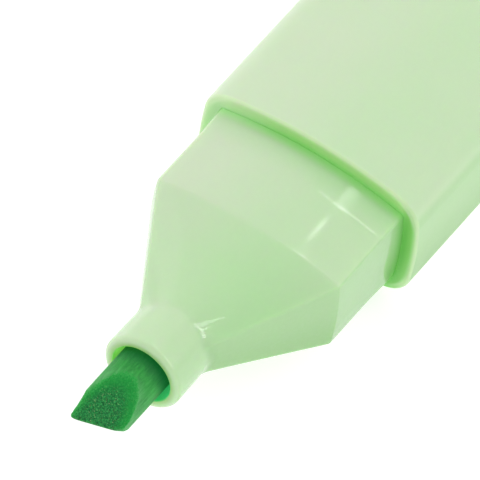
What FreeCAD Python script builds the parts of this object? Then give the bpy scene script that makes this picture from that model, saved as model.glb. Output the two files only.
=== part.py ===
import FreeCAD, Part
import math
import os
from collections import namedtuple
from types import SimpleNamespace

import Sketcher

# A flat highlighter with a chisel nib, lying on its wide face with the cap posted on its tail.
# In every sub-part X runs along the pen from the nib (-X) to the tail (+X), with X = 0 at the
# front rim of the barrel, Y runs across the width and Z across the thickness.  The placement
# shared by all the sub-parts then moves the origin to the middle of the underside.

# ---------------------------------------------------------------- driving dimensions (mm, degrees)

DIMENSIONS = {
    "barrel_width": 24.0,
    "barrel_thickness": 15.1,
    "barrel_crown": 41.8,
    "barrel_side": 39.0,
    "barrel_corner": 3.2,
    "barrel_length": 66.0,
    "rim_fillet": 0.3,
    "neck_width": 20.8,
    "neck_thickness": 11.75,
    "neck_crown": 40.0,
    "neck_side": 33.0,
    "neck_corner": 0.5,
    "flare_length": 3.4,
    "flare_rise": 0.16,
    "neck_length": 10.3,
    "shoulder_width": 20.5,
    "shoulder_thickness": 11.1,
    "nose_length": 21.6,
    "nose_width": 7.9,
    "nose_thickness": 8.0,
    "nose_crown": 4.55,
    "nose_side": 18.0,
    "nose_corner": 0.9,
    "nose_blend": 0.6,
    "nose_wall": 1.2,
    "cavity_depth": 14.5,
    "cavity_corner": 1.0,
    "shoulder_fillet": 0.6,
    "spigot_length": 9.0,
    "fit_gap": 0.03,
    "sink": 0.5,
    "cut_margin": 1.0,
    "collar_radius": 4.1,
    "collar_squareness": 0.3,
    "collar_length": 26.9,
    "collar_overlap": 2.0,
    "collar_draft": 0.02,
    "collar_draft_length": 2.4,
    "collar_lip": 0.5,
    "holder_back": 9.0,
    "holder_radius": 3.9,
    "bore_radius": 3.07,
    "bore_lip": 0.15,
    "grip_rib_width": 0.6,
    "grip_rib_front": 23.5,
    "grip_rib_count": 6,
    "nib_radius": 2.6,
    "nib_front": 34.9,
    "nib_lead": 1.9,
    "nib_shift": 0.1,
    "nib_skew": 18.4,
    "nib_half_angle": 29.0,
    "nib_land": 0.3,
    "nib_back_chamfer": 1.2,
    "relief_start": 30.6,
    "relief_radius": 14.0,
    "wadding_width": 16.6,
    "wadding_thickness": 7.4,
    "wadding_front": 8.0,
    "wadding_length": 64.0,
    "film_thickness": 0.25,
    "film_margin": 0.8,
    "rib_width": 0.9,
    "rib_spacing": 8.0,
    "plug_depth": 8.0,
    "plug_wall": 1.5,
    "stub_length": 10.0,
    "stub_relief": 0.12,
    "stub_fillet": 0.6,
    "cap_seam": 0.2,
    "cap_length": 40.0,
    "cap_clearance": 0.08,
    "cap_end_wall": 1.8,
    "cap_end_fillet": 1.2,
    "cap_boss_radius": 3.0,
    "cap_boss_height": 1.5,
    "vent_radius": 1.1,
    "vent_spacing": 15.0,
    "clip_width": 6.0,
    "clip_length": 30.0,
    "clip_thickness": 1.5,
    "clip_gap": 1.2,
    "clip_root": 5.0,
    "clip_bump": 0.8,
    "clip_bump_length": 2.0,
    "clip_round": 0.5,
    "seal_bore_radius": 4.18,
    "seal_wall": 1.0,
    "seal_mouth_depth": 21.4,
    "seal_end_wall": 2.4,
    "seal_chamfer": 0.4,
}

doc = FreeCAD.newDocument("Highlighter")
sheet = doc.addObject("Spreadsheet::Sheet", "Sizes")
for row, (alias, number) in enumerate(DIMENSIONS.items(), start=1):
    sheet.set(f"A{row}", alias)
    sheet.set(f"B{row}", str(number))
    sheet.setAlias(f"B{row}", alias)
doc.recompute()

# Each dimension as the text that expressions use, so that S.barrel_width reads "Sizes.barrel_width".
S = SimpleNamespace(**{alias: f"Sizes.{alias}" for alias in DIMENSIONS})

CAP_START = f"({S.barrel_length} + {S.cap_seam})"
CAP_END = f"({CAP_START} + {S.cap_length})"
FRAME_SHIFT_X = f"({S.nib_front} - {CAP_END}) / 2"
FRAME_SHIFT_Z = f"{S.barrel_thickness} / 2"
# The chisel edge runs back from its leading corner, and this is where it crosses the nib's axis.
NIB_EDGE = f"({S.nib_front} - {S.nib_lead} * tan({S.nib_skew}))"


def number_of(expression):
    """The value of an expression of sheet aliases."""
    value = sheet.evalExpression(expression)
    return float(getattr(value, "Value", value))


# ---------------------------------------------------------------- outlines across the pen

# An outline of four shallow bulging sides joined by four tangent corner arcs.  crown and side are
# the radii of the wide and the narrow sides, corner that of the corners.
Outline = namedtuple("Outline", "width thickness crown side corner")

BARREL = Outline(S.barrel_width, S.barrel_thickness, S.barrel_crown, S.barrel_side, S.barrel_corner)
NECK = Outline(S.neck_width, S.neck_thickness, S.neck_crown, S.neck_side, S.neck_corner)
SHOULDER = Outline(S.shoulder_width, S.shoulder_thickness, S.neck_crown, S.neck_side, S.neck_corner)
NOSE = Outline(S.nose_width, S.nose_thickness, S.nose_crown, S.nose_side, S.nose_corner)
# Nearly the collar's circle, and just inside it, so that the taper fairs into the collar.
ROUND = Outline(
    f"(2 * {S.collar_radius} - {S.fit_gap})",
    f"(2 * {S.collar_radius} - {S.fit_gap})",
    f"({S.collar_radius} + {S.collar_squareness})",
    f"({S.collar_radius} + {S.collar_squareness})",
    f"({S.collar_radius} - 2 * {S.collar_squareness})",
)


def grown(outline, amount):
    """The same outline moved outwards by an amount, or inwards by a negative one."""
    return Outline(
        f"({outline.width} + 2 * {amount})",
        f"({outline.thickness} + 2 * {amount})",
        f"({outline.crown} + {amount})",
        f"({outline.side} + {amount})",
        outline.corner,
    )


def between(first, last, share):
    """The outline at a share of the way from the first outline to the last."""
    pairs = zip(first, last)
    return Outline(*(f"({a} + {share} * ({b} - {a}))" for a, b in pairs))


def origin_plane(body, role):
    return next(plane for plane in body.Origin.OriginFeatures if plane.Role == role)


def new_sketch(body, name, role, offset=None):
    """A sketch on one of the body's origin planes, offset along the plane's normal."""
    sketch = body.newObject("Sketcher::SketchObject", name)
    sketch.AttachmentSupport = [(origin_plane(body, role), "")]
    sketch.MapMode = "FlatFace"
    if offset is not None:
        sketch.setExpression("AttachmentOffset.Base.z", offset)
    return sketch


def bind(sketch, expression, *constraint):
    """Adds a dimensional constraint and drives it from the sheet."""
    index = sketch.addConstraint(Sketcher.Constraint(*constraint, number_of(expression)))
    sketch.setExpression(f"Constraints[{index}]", expression)


def arc(cx, cy, radius, start, end):
    circle = Part.Circle(FreeCAD.Vector(cx, cy, 0), FreeCAD.Vector(0, 0, 1), radius)
    return Part.ArcOfCircle(circle, start, end)


def draw_outline(sketch, outline):
    """Draws an outline as eight tangent arcs, centred on the sketch's origin."""
    width, thickness, crown, side, corner = (number_of(size) for size in outline)
    side_x = width / 2 - side
    crown_y = thickness / 2 - crown
    # The corner's centre is where circles about the crown's and the side's centres cross.
    gap = math.hypot(side_x, crown_y)
    along = ((crown - corner) ** 2 - (side - corner) ** 2 + gap ** 2) / (2 * gap)
    off = math.sqrt((crown - corner) ** 2 - along ** 2)
    ux, uy = side_x / gap, -crown_y / gap
    centres = [(along * ux + turn * off * uy, crown_y + along * uy - turn * off * ux) for turn in (1, -1)]
    px, py = max(centres)
    low = math.atan2(py, px - side_x)
    high = math.atan2(py - crown_y, px)
    half_turn = math.pi
    arcs = [
        arc(side_x, 0, side, -low, low),
        arc(px, py, corner, low, high),
        arc(0, crown_y, crown, high, half_turn - high),
        arc(-px, py, corner, half_turn - high, half_turn - low),
        arc(-side_x, 0, side, half_turn - low, half_turn + low),
        arc(-px, -py, corner, half_turn + low, half_turn + high),
        arc(0, -crown_y, crown, half_turn + high, 2 * half_turn - high),
        arc(px, -py, corner, -high, -low),
    ]
    right, top_right, top, top_left, left, low_left, bottom, low_right = sketch.addGeometry(arcs)
    loop = [right, top_right, top, top_left, left, low_left, bottom, low_right]
    rules = [Sketcher.Constraint("Tangent", a, 2, b, 1) for a, b in zip(loop, loop[1:] + loop[:1])]
    rules += [Sketcher.Constraint("PointOnObject", geometry, 3, -1) for geometry in (right, left)]
    rules += [Sketcher.Constraint("PointOnObject", geometry, 3, -2) for geometry in (top, bottom)]
    rules += [Sketcher.Constraint("Equal", right, left), Sketcher.Constraint("Equal", top, bottom)]
    rules += [Sketcher.Constraint("Equal", top_right, other) for other in (top_left, low_left, low_right)]
    sketch.addConstraint(rules)
    bind(sketch, outline.side, "Radius", right)
    bind(sketch, outline.crown, "Radius", top)
    bind(sketch, outline.corner, "Radius", top_right)
    side_offset = f"{outline.side} - {outline.width} / 2"
    crown_offset = f"{outline.crown} - {outline.thickness} / 2"
    bind(sketch, side_offset, "DistanceX", right, 3, -1, 1)
    bind(sketch, side_offset, "DistanceX", -1, 1, left, 3)
    bind(sketch, crown_offset, "DistanceY", top, 3, -1, 1)
    bind(sketch, crown_offset, "DistanceY", -1, 1, bottom, 3)


def outline_sketch(body, name, outline, at):
    sketch = new_sketch(body, name, "YZ_Plane", at)
    draw_outline(sketch, outline)
    return sketch


def circle_sketch(body, name, radius, at, shift="0"):
    """A circle across the pen, its centre moved along Y by a shift."""
    sketch = new_sketch(body, name, "YZ_Plane", at)
    sketch.setExpression("AttachmentOffset.Base.x", shift)
    centre, normal = FreeCAD.Vector(0, 0, 0), FreeCAD.Vector(0, 0, 1)
    circle = sketch.addGeometry(Part.Circle(centre, normal, number_of(radius)))
    sketch.addConstraint(Sketcher.Constraint("Coincident", circle, 3, -1, 1))
    bind(sketch, radius, "Radius", circle)
    return sketch


def obround_sketch(body, name, width, thickness, at):
    """Two half circles joined by two straight lines, centred on the sketch's origin."""
    sketch = new_sketch(body, name, "YZ_Plane", at)
    radius = number_of(thickness) / 2
    reach = number_of(width) / 2 - radius
    quarter = math.pi / 2
    places = ((reach, radius), (-reach, radius), (-reach, -radius), (reach, -radius))
    ends = [FreeCAD.Vector(x, y, 0) for x, y in places]
    right = sketch.addGeometry(arc(reach, 0, radius, -quarter, quarter))
    top = sketch.addGeometry(Part.LineSegment(*ends[:2]))
    left = sketch.addGeometry(arc(-reach, 0, radius, quarter, 3 * quarter))
    low = sketch.addGeometry(Part.LineSegment(*ends[2:]))
    loop = [right, top, left, low]
    rules = [Sketcher.Constraint("Tangent", a, 2, b, 1) for a, b in zip(loop, loop[1:] + loop[:1])]
    rules += [Sketcher.Constraint("Symmetric", left, 3, right, 3, -1, 1)]
    rules += [Sketcher.Constraint("PointOnObject", right, 3, -1)]
    sketch.addConstraint(rules)
    bind(sketch, f"{thickness} / 2", "Radius", right)
    bind(sketch, f"{width} - {thickness}", "DistanceX", left, 3, right, 3)
    return sketch


def rectangle_sketch(body, name, size_y, size_z, at, centre_y="0", centre_z="0"):
    """A rectangle across the pen, its centre moved along Y and Z."""
    sketch = new_sketch(body, name, "YZ_Plane", at)
    sketch.setExpression("AttachmentOffset.Base.x", centre_y)
    sketch.setExpression("AttachmentOffset.Base.y", centre_z)
    y, z = number_of(size_y) / 2, number_of(size_z) / 2
    corners = [FreeCAD.Vector(*corner, 0) for corner in ((-y, -z), (y, -z), (y, z), (-y, z))]
    sides = [Part.LineSegment(a, b) for a, b in zip(corners, corners[1:] + corners[:1])]
    low, right, top, left = sketch.addGeometry(sides)
    loop = [low, right, top, left]
    rules = [Sketcher.Constraint("Coincident", a, 2, b, 1) for a, b in zip(loop, loop[1:] + loop[:1])]
    rules += [Sketcher.Constraint("Horizontal", side) for side in (low, top)]
    rules += [Sketcher.Constraint("Vertical", side) for side in (left, right)]
    rules += [Sketcher.Constraint("Symmetric", low, 1, top, 1, -1, 1)]
    sketch.addConstraint(rules)
    bind(sketch, size_y, "DistanceX", low, 1, low, 2)
    bind(sketch, size_z, "DistanceY", right, 1, right, 2)
    return sketch


# ---------------------------------------------------------------- features

def new_body(node):
    body = doc.addObject("PartDesign::Body", node)
    body.Label = node
    body.setExpression("Placement.Base.x", FRAME_SHIFT_X)
    body.setExpression("Placement.Base.z", FRAME_SHIFT_Z)
    return body


def pad(body, name, sketch, length, forwards=True):
    """Adds material from a sketch, towards the tail when forwards is true."""
    feature = body.newObject("PartDesign::Pad", name)
    feature.Profile = sketch
    feature.setExpression("Length", length)
    feature.Reversed = not forwards
    doc.recompute()
    return feature


def pocket(body, name, sketch, length, forwards=True):
    """Cuts material from a sketch, towards the tail when forwards is true."""
    before = body.Shape.Volume
    feature = body.newObject("PartDesign::Pocket", name)
    feature.Profile = sketch
    feature.setExpression("Length", length)
    feature.Reversed = forwards
    doc.recompute()
    if feature.Shape.Volume >= before:
        raise RuntimeError(f"{body.Label}: {name} removes nothing")
    return feature


def loft(body, kind, name, sketches):
    """A loft of flat facets between outlines, adding or removing material."""
    feature = body.newObject(f"PartDesign::{kind}Loft", name)
    feature.Profile = sketches[0]
    feature.Sections = sketches[1:]
    feature.Ruled = True
    doc.recompute()
    return feature


def rounded(body, name, radius, chosen, kind="Fillet"):
    """Rounds or chamfers the edges of the body's last feature that a test chooses."""
    last = body.Tip
    edges = [f"Edge{index}" for index, edge in enumerate(last.Shape.Edges, start=1) if chosen(edge)]
    if not edges:
        raise RuntimeError(f"{body.Label}: {name} finds no edges")
    feature = body.newObject(f"PartDesign::{kind}", name)
    feature.Base = (last, edges)
    feature.setExpression("Radius" if kind == "Fillet" else "Size", radius)
    doc.recompute()
    return feature


def lies_across(x, tolerance=1e-4):
    """A test for edges that lie in the plane across the pen at x."""

    def test(edge):
        box = edge.BoundBox
        return abs(box.XMin - x) < tolerance and abs(box.XMax - x) < tolerance

    return test


def circles_at(x, radius, tolerance=1e-4):
    """A test for arcs of a radius that lie in the plane across the pen at x."""
    across = lies_across(x)

    def test(edge):
        return across(edge) and abs(edge.Curve.Radius - radius) < tolerance

    return test


# ---------------------------------------------------------------- sub-parts

def make_barrel():
    """The outer tube: a bore for the nose and the plug, and ribs that centre the ink reservoir."""
    body = new_body("barrel")
    pad(body, "Tube", outline_sketch(body, "TubeOutline", BARREL, "0"), S.barrel_length)
    front, back = lies_across(0), lies_across(number_of(S.barrel_length))
    rounded(body, "RimFillet", S.rim_fillet, lambda edge: front(edge) or back(edge))
    bore = grown(NECK, S.fit_gap)
    pocket(body, "Bore", outline_sketch(body, "BoreOutline", bore, "0"), S.barrel_length)
    wall_reach = f"({S.neck_thickness} / 2 + {S.fit_gap} + {S.sink})"
    film_reach = f"({S.wadding_thickness} / 2 + {S.film_thickness})"
    rib_height = f"({wall_reach} - {film_reach})"
    rib_length = f"{S.barrel_length} - {S.spigot_length} - {S.plug_depth}"
    for side, sign in (("Upper", "1"), ("Lower", "-1")):
        for place, across in (("Left", "1"), ("Right", "-1")):
            centre_y = f"{across} * {S.rib_spacing} / 2"
            centre_z = f"{sign} * ({film_reach} + {rib_height} / 2)"
            sketch = rectangle_sketch(
                body, f"{side}{place}RibOutline", S.rib_width, rib_height, S.spigot_length, centre_y, centre_z
            )
            pad(body, f"{side}{place}Rib", sketch, rib_length)
    side_wall = f"({S.neck_width} / 2 + {S.fit_gap} + {S.sink})"
    side_film = f"({S.wadding_width} / 2 + {S.film_thickness})"
    for place, across in (("Left", "1"), ("Right", "-1")):
        width = f"({side_wall} - {side_film})"
        centre_y = f"{across} * ({side_film} + {width} / 2)"
        sketch = rectangle_sketch(body, f"{place}RibOutline", width, S.rib_width, S.spigot_length, centre_y)
        pad(body, f"{place}SideRib", sketch, rib_length)
    return body


def make_nose():
    """The front moulding: spigot, neck, four-sided taper, round collar and the ribbed nib holder."""
    body = new_body("nose_section")
    flare_share = f"({S.flare_length} / {S.neck_length})"
    flare_front = grown(between(NECK, SHOULDER, flare_share), f"(-{S.flare_rise} / 2)")
    outlines = [
        outline_sketch(body, "RimOutline", NECK, "0"),
        outline_sketch(body, "FlareOutline", flare_front, f"-{S.flare_length}"),
        outline_sketch(body, "ShoulderOutline", SHOULDER, f"-{S.neck_length}"),
        outline_sketch(body, "NoseOutline", NOSE, f"-{S.nose_length}"),
        outline_sketch(body, "BlendOutline", ROUND, f"-({S.nose_length} + {S.nose_blend})"),
    ]
    loft(body, "Additive", "NeckAndTaper", outlines)
    rounded(body, "ShoulderFillet", S.shoulder_fillet, lies_across(number_of(f"-{S.neck_length}")))
    # The collar's root is drafted where it runs into the taper, and straight from there to the mouth.
    root_back = f"({S.nose_length} - {S.collar_overlap})"
    root_front = f"({root_back} + {S.collar_draft_length})"
    root = [
        circle_sketch(body, "RootBackCircle", f"({S.collar_radius} + {S.collar_draft})", f"-{root_back}"),
        circle_sketch(body, "RootFrontCircle", S.collar_radius, f"-{root_front}"),
    ]
    loft(body, "Additive", "CollarRoot", root)
    collar = circle_sketch(body, "CollarCircle", S.collar_radius, f"-{root_front}")
    pad(body, "Collar", collar, f"{S.collar_length} - {root_front}", forwards=False)
    pad(body, "Spigot", outline_sketch(body, "SpigotOutline", NECK, "0"), S.spigot_length)

    cavity_share = f"(({S.cavity_depth} - {S.neck_length}) / ({S.nose_length} - {S.neck_length}))"
    inward = f"(-{S.nose_wall})"
    cavity = [
        grown(NECK, inward)._replace(corner=S.cavity_corner),
        grown(SHOULDER, inward)._replace(corner=S.cavity_corner),
        grown(between(SHOULDER, NOSE, cavity_share), inward)._replace(corner=S.cavity_corner),
    ]
    places = [S.spigot_length, f"-{S.neck_length}", f"-{S.cavity_depth}"]
    names = ("CavityBack", "CavityMiddle", "CavityFront")
    sketches = [outline_sketch(body, *item) for item in zip(names, cavity, places)]
    loft(body, "Subtractive", "Cavity", sketches)

    holder = circle_sketch(body, "HolderCircle", S.holder_radius, f"-{S.holder_back}")
    pad(body, "NibHolder", holder, f"{S.cavity_depth} - {S.holder_back} + {S.sink}", forwards=False)
    bore = circle_sketch(body, "BoreCircle", S.bore_radius, f"-{S.holder_back}")
    pocket(body, "Bore", bore, f"{S.collar_length} - {S.holder_back}", forwards=False)

    # Grip ribs reach past the nib's surface, and a cut of the nib's own size then seats the nib on them.
    rib_height = f"({S.bore_radius} - {S.nib_radius} + {S.cut_margin})"
    rib = rectangle_sketch(
        body, "GripRibOutline", S.grip_rib_width, rib_height, f"-{S.holder_back}",
        centre_z=f"{S.bore_radius} + {S.sink} - {rib_height} / 2",
    )
    first_rib = pad(body, "GripRib", rib, f"{S.grip_rib_front} - {S.holder_back}", forwards=False)
    pattern = body.newObject("PartDesign::PolarPattern", "GripRibs")
    pattern.Originals = [first_rib]
    pattern.Axis = (next(axis for axis in body.Origin.OriginFeatures if axis.Role == "X_Axis"), [""])
    pattern.Angle = 360
    pattern.setExpression("Occurrences", S.grip_rib_count)
    body.Tip = pattern
    doc.recompute()
    seat = circle_sketch(body, "NibSeatCircle", S.nib_radius, f"-{S.holder_back}", S.nib_shift)
    pocket(body, "NibSeat", seat, f"{S.collar_length} - {S.holder_back}", forwards=False)

    mouth = number_of(f"-{S.collar_length}")
    rounded(body, "CollarLip", S.collar_lip, circles_at(mouth, number_of(S.collar_radius)))
    rounded(body, "BoreLip", S.bore_lip, circles_at(mouth, number_of(S.bore_radius)))
    return body


def make_nib():
    """The fibre rod, cut to a skewed chisel edge in front and chamfered where it enters the wadding."""
    body = new_body("chisel_nib")
    rod = circle_sketch(body, "RodCircle", S.nib_radius, "0", S.nib_shift)
    reach = f"{S.nib_front} + 2 * {S.nib_radius}"
    pad(body, "Rod", rod, reach, forwards=False)
    rounded(body, "BackChamfer", S.nib_back_chamfer, lies_across(0), kind="Chamfer")

    # The cut is drawn looking along the chisel edge, with the sketch's origin on the edge.
    sketch = new_sketch(body, "ChiselOutline", "XZ_Plane")
    sketch.AttachmentOffset = FreeCAD.Placement(
        FreeCAD.Vector(0, 0, 0), FreeCAD.Rotation(FreeCAD.Vector(0, 1, 0), number_of(S.nib_skew))
    )
    sketch.setExpression("AttachmentOffset.Base.x", f"-{NIB_EDGE}")
    sketch.setExpression("AttachmentOffset.Base.z", f"-{S.nib_shift}")
    sketch.setExpression("AttachmentOffset.Rotation.Angle", S.nib_skew)
    half_land = number_of(f"{S.nib_land} / 2")
    top = number_of(f"{S.nib_radius} + {S.cut_margin}")
    ahead = number_of(f"3 * {S.nib_radius}")
    slope = math.tan(math.radians(number_of(S.nib_half_angle)))
    back = (top - half_land) / slope
    upper_points = [(0, half_land), (back, top), (-ahead, top)]
    lower_points = [(x, -y) for x, y in reversed(upper_points)]
    corners = [FreeCAD.Vector(x, y, 0) for x, y in upper_points + lower_points]
    lines = [Part.LineSegment(a, b) for a, b in zip(corners, corners[1:] + corners[:1])]
    upper, over, front, under, lower, land = sketch.addGeometry(lines)
    loop = [upper, over, front, under, lower, land]
    rules = [Sketcher.Constraint("Coincident", a, 2, b, 1) for a, b in zip(loop, loop[1:] + loop[:1])]
    rules += [Sketcher.Constraint("Symmetric", lower, 2, upper, 1, -1, 1)]
    rules += [Sketcher.Constraint("Vertical", line) for line in (land, front)]
    rules += [Sketcher.Constraint("Horizontal", over)]
    rules += [Sketcher.Constraint("Symmetric", under, 2, upper, 2, -1)]
    rules += [Sketcher.Constraint("Horizontal", under)]
    sketch.addConstraint(rules)
    bind(sketch, S.nib_land, "DistanceY", land, 1, land, 2)
    rise = f"({S.nib_radius} + {S.cut_margin} - {S.nib_land} / 2)"
    bind(sketch, rise, "DistanceY", upper, 1, upper, 2)
    bind(sketch, f"{rise} / tan({S.nib_half_angle})", "DistanceX", upper, 1, upper, 2)
    bind(sketch, f"3 * {S.nib_radius}", "DistanceX", over, 2, -1, 1)
    cut_through(body, "ChiselCut", sketch)
    relieve_leading_side(body)
    return body


def relieve_leading_side(body):
    """Rounds the nib's leading side in towards the leading corner, with an arc tangent to the rod."""
    sketch = new_sketch(body, "ReliefOutline", "XY_Plane")
    sketch.setExpression("AttachmentOffset.Base.x", f"-{S.relief_start}")
    sketch.setExpression("AttachmentOffset.Base.y", f"{S.nib_shift} + {S.nib_radius}")
    span = f"({S.nib_front} - {S.relief_start} + {S.cut_margin})"
    length, margin, radius = number_of(span), number_of(S.cut_margin), number_of(S.relief_radius)
    drop = math.sqrt(radius ** 2 - length ** 2) - radius
    quarter = math.pi / 2
    curve = sketch.addGeometry(arc(0, -radius, radius, quarter, quarter + math.asin(length / radius)))
    corners = [FreeCAD.Vector(x, y, 0) for x, y in ((-length, drop), (-length, margin), (0, margin), (0, 0))]
    front, over, back = sketch.addGeometry([Part.LineSegment(a, b) for a, b in zip(corners, corners[1:])])
    loop = [curve, front, over, back]
    rules = [Sketcher.Constraint("Coincident", a, 2, b, 1) for a, b in zip(loop, loop[1:] + loop[:1])]
    rules += [Sketcher.Constraint("Vertical", line) for line in (front, back)]
    rules += [Sketcher.Constraint("Horizontal", over)]
    rules += [Sketcher.Constraint("Coincident", curve, 1, -1, 1)]
    rules += [Sketcher.Constraint("PointOnObject", curve, 3, -2)]
    sketch.addConstraint(rules)
    bind(sketch, S.relief_radius, "Radius", curve)
    bind(sketch, span, "DistanceX", over, 1, over, 2)
    bind(sketch, S.cut_margin, "DistanceY", back, 2, back, 1)
    cut_through(body, "LeadingSideRelief", sketch)


def cut_through(body, name, sketch):
    """Cuts a sketch's outline through the nib, equally to both sides of the sketch."""
    before = body.Shape.Volume
    cut = body.newObject("PartDesign::Pocket", name)
    cut.Profile = sketch
    cut.Midplane = True
    cut.setExpression("Length", f"8 * {S.nib_radius}")
    doc.recompute()
    if cut.Shape.Volume >= before:
        raise RuntimeError(f"{body.Label}: {name} removes nothing")


def make_reservoir_core():
    """The fibre wadding that holds the ink, with the hole that the nib makes in its front end."""
    body = new_body("reservoir_core")
    outline = obround_sketch(body, "Wadding", S.wadding_width, S.wadding_thickness, f"-{S.wadding_front}")
    pad(body, "WaddingLength", outline, S.wadding_length)
    hole = circle_sketch(body, "NibHoleCircle", S.nib_radius, f"-{S.wadding_front}", S.nib_shift)
    pocket(body, "NibHole", hole, S.wadding_front)
    return body


def make_reservoir_wrap():
    """The thin film sleeve around the wadding, a little shorter than it at both ends."""
    body = new_body("reservoir_wrap")
    start = f"-({S.wadding_front} - {S.film_margin})"
    length = f"{S.wadding_length} - 2 * {S.film_margin}"
    width = f"({S.wadding_width} + 2 * {S.film_thickness})"
    thickness = f"({S.wadding_thickness} + 2 * {S.film_thickness})"
    pad(body, "Sleeve", obround_sketch(body, "SleeveOutline", width, thickness, start), length)
    inside = obround_sketch(body, "SleeveInside", S.wadding_width, S.wadding_thickness, start)
    pocket(body, "SleeveBore", inside, length)
    return body


def make_end_plug():
    """The tail plug: a hollow spigot in the barrel, and the stub that the cap is posted on."""
    body = new_body("end_plug")
    start = f"({S.barrel_length} - {S.plug_depth})"
    pad(body, "Spigot", outline_sketch(body, "SpigotOutline", NECK, start), S.plug_depth)
    stub = grown(NECK, f"(-{S.stub_relief})")
    pad(body, "Stub", outline_sketch(body, "StubOutline", stub, S.barrel_length), S.stub_length)
    hollow = grown(stub, f"(-{S.plug_wall})")
    depth = f"{S.plug_depth} + {S.stub_length} - {S.plug_wall}"
    pocket(body, "Hollow", outline_sketch(body, "HollowOutline", hollow, start), depth)
    tail = number_of(f"{S.barrel_length} + {S.stub_length}")
    rounded(body, "StubFillet", S.stub_fillet, lies_across(tail))
    return body


def make_cap():
    """The cap: a shell of the barrel's outline with a moulded clip, two vents and a seal boss."""
    body = new_body("cap_shell")
    pad(body, "Shell", outline_sketch(body, "ShellOutline", BARREL, CAP_START), S.cap_length)
    end = number_of(CAP_END)
    mouth = number_of(CAP_START)
    at_end, at_mouth = lies_across(end), lies_across(mouth)
    rounded(body, "EndFillet", S.cap_end_fillet, at_end)
    rounded(body, "MouthFillet", S.rim_fillet, at_mouth)
    inside = grown(NECK, S.cap_clearance)
    depth = f"{S.cap_length} - {S.cap_end_wall}"
    pocket(body, "Inside", outline_sketch(body, "InsideOutline", inside, CAP_START), depth)
    wall = f"({CAP_END} - {S.cap_end_wall})"
    boss = circle_sketch(body, "BossCircle", S.cap_boss_radius, wall)
    pad(body, "SealBoss", boss, S.cap_boss_height, forwards=False)
    for side, sign in (("Left", "1"), ("Right", "-1")):
        vent = circle_sketch(body, f"{side}VentCircle", S.vent_radius, wall, f"{sign} * {S.vent_spacing} / 2")
        pocket(body, f"{side}Vent", vent, S.cap_end_wall)
    add_clip(body)
    return body


def add_clip(body):
    """The clip on the cap's upper face: a root at the closed end, an arm, and a bump at its tip."""
    sketch = new_sketch(body, "ClipProfile", "XZ_Plane")
    sketch.setExpression("AttachmentOffset.Base.x", CAP_END)
    sketch.setExpression("AttachmentOffset.Base.y", f"{S.barrel_thickness} / 2")
    names = ("length", "thickness", "gap", "root", "bump", "bump_length")
    sizes = {name: number_of(f"Sizes.clip_{name}") for name in names}
    inset = number_of(S.cap_end_fillet)
    sunk = number_of(S.sink)
    top = sizes["gap"] + sizes["thickness"]
    root = inset + sizes["root"]
    tip = inset + sizes["length"]
    low = sizes["gap"] - sizes["bump"]
    corners = [
        FreeCAD.Vector(x, z, 0)
        for x, z in (
            (-inset, -sunk), (-inset, top), (-tip, top), (-tip, low), (-tip + sizes["bump_length"], low),
            (-tip + 2 * sizes["bump_length"], sizes["gap"]), (-root, sizes["gap"]), (-root, -sunk),
        )
    ]
    lines = [Part.LineSegment(a, b) for a, b in zip(corners, corners[1:] + corners[:1])]
    back, crest, tip_face, bump, ramp, arm, root_face, base = sketch.addGeometry(lines)
    loop = [back, crest, tip_face, bump, ramp, arm, root_face, base]
    rules = [Sketcher.Constraint("Coincident", a, 2, b, 1) for a, b in zip(loop, loop[1:] + loop[:1])]
    rules += [Sketcher.Constraint("Vertical", line) for line in (back, tip_face, root_face)]
    rules += [Sketcher.Constraint("Horizontal", line) for line in (crest, bump, arm, base)]
    sketch.addConstraint(rules)
    bind(sketch, S.cap_end_fillet, "DistanceX", back, 1, -1, 1)
    bind(sketch, S.sink, "DistanceY", back, 1, -1, 1)
    bind(sketch, f"{S.clip_gap} + {S.clip_thickness}", "DistanceY", -1, 1, back, 2)
    bind(sketch, S.clip_length, "DistanceX", crest, 2, crest, 1)
    bind(sketch, f"{S.clip_thickness} + {S.clip_bump}", "DistanceY", tip_face, 2, tip_face, 1)
    bind(sketch, S.clip_bump_length, "DistanceX", bump, 1, bump, 2)
    bind(sketch, S.clip_bump_length, "DistanceX", ramp, 1, ramp, 2)
    bind(sketch, S.clip_bump, "DistanceY", ramp, 1, ramp, 2)
    bind(sketch, S.clip_root, "DistanceX", base, 1, base, 2)
    clip = body.newObject("PartDesign::Pad", "Clip")
    clip.Profile = sketch
    clip.Midplane = True
    clip.setExpression("Length", S.clip_width)
    doc.recompute()
    crest_z = number_of(f"{S.barrel_thickness} / 2 + {S.clip_gap} + {S.clip_thickness}")

    def on_crest(edge):
        return abs(edge.BoundBox.ZMin - crest_z) < 1e-4

    rounded(body, "ClipRounding", S.clip_round, on_crest)


def make_seal():
    """The sealing cup inside the cap that closes over the nose's collar and the nib."""
    body = new_body("cap_seal_liner")
    mouth = f"({CAP_START} + {S.seal_mouth_depth})"
    back = f"({CAP_END} - {S.cap_end_wall})"
    outer = circle_sketch(body, "CupCircle", f"{S.seal_bore_radius} + {S.seal_wall}", mouth)
    pad(body, "Cup", outer, f"{back} - {mouth}")
    inner = circle_sketch(body, "CupBoreCircle", S.seal_bore_radius, mouth)
    pocket(body, "CupBore", inner, f"{back} - {mouth} - {S.seal_end_wall}")
    recess = circle_sketch(body, "BossRecessCircle", f"{S.cap_boss_radius} + {S.fit_gap}", back)
    pocket(body, "BossRecess", recess, S.cap_boss_height, forwards=False)
    edge_x = number_of(mouth)
    rounded(body, "MouthChamfer", S.seal_chamfer, lies_across(edge_x), kind="Chamfer")
    return body


# ---------------------------------------------------------------- check and write

SUB_PARTS = [
    make_barrel(),
    make_nose(),
    make_nib(),
    make_reservoir_core(),
    make_reservoir_wrap(),
    make_end_plug(),
    make_cap(),
    make_seal(),
]

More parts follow.
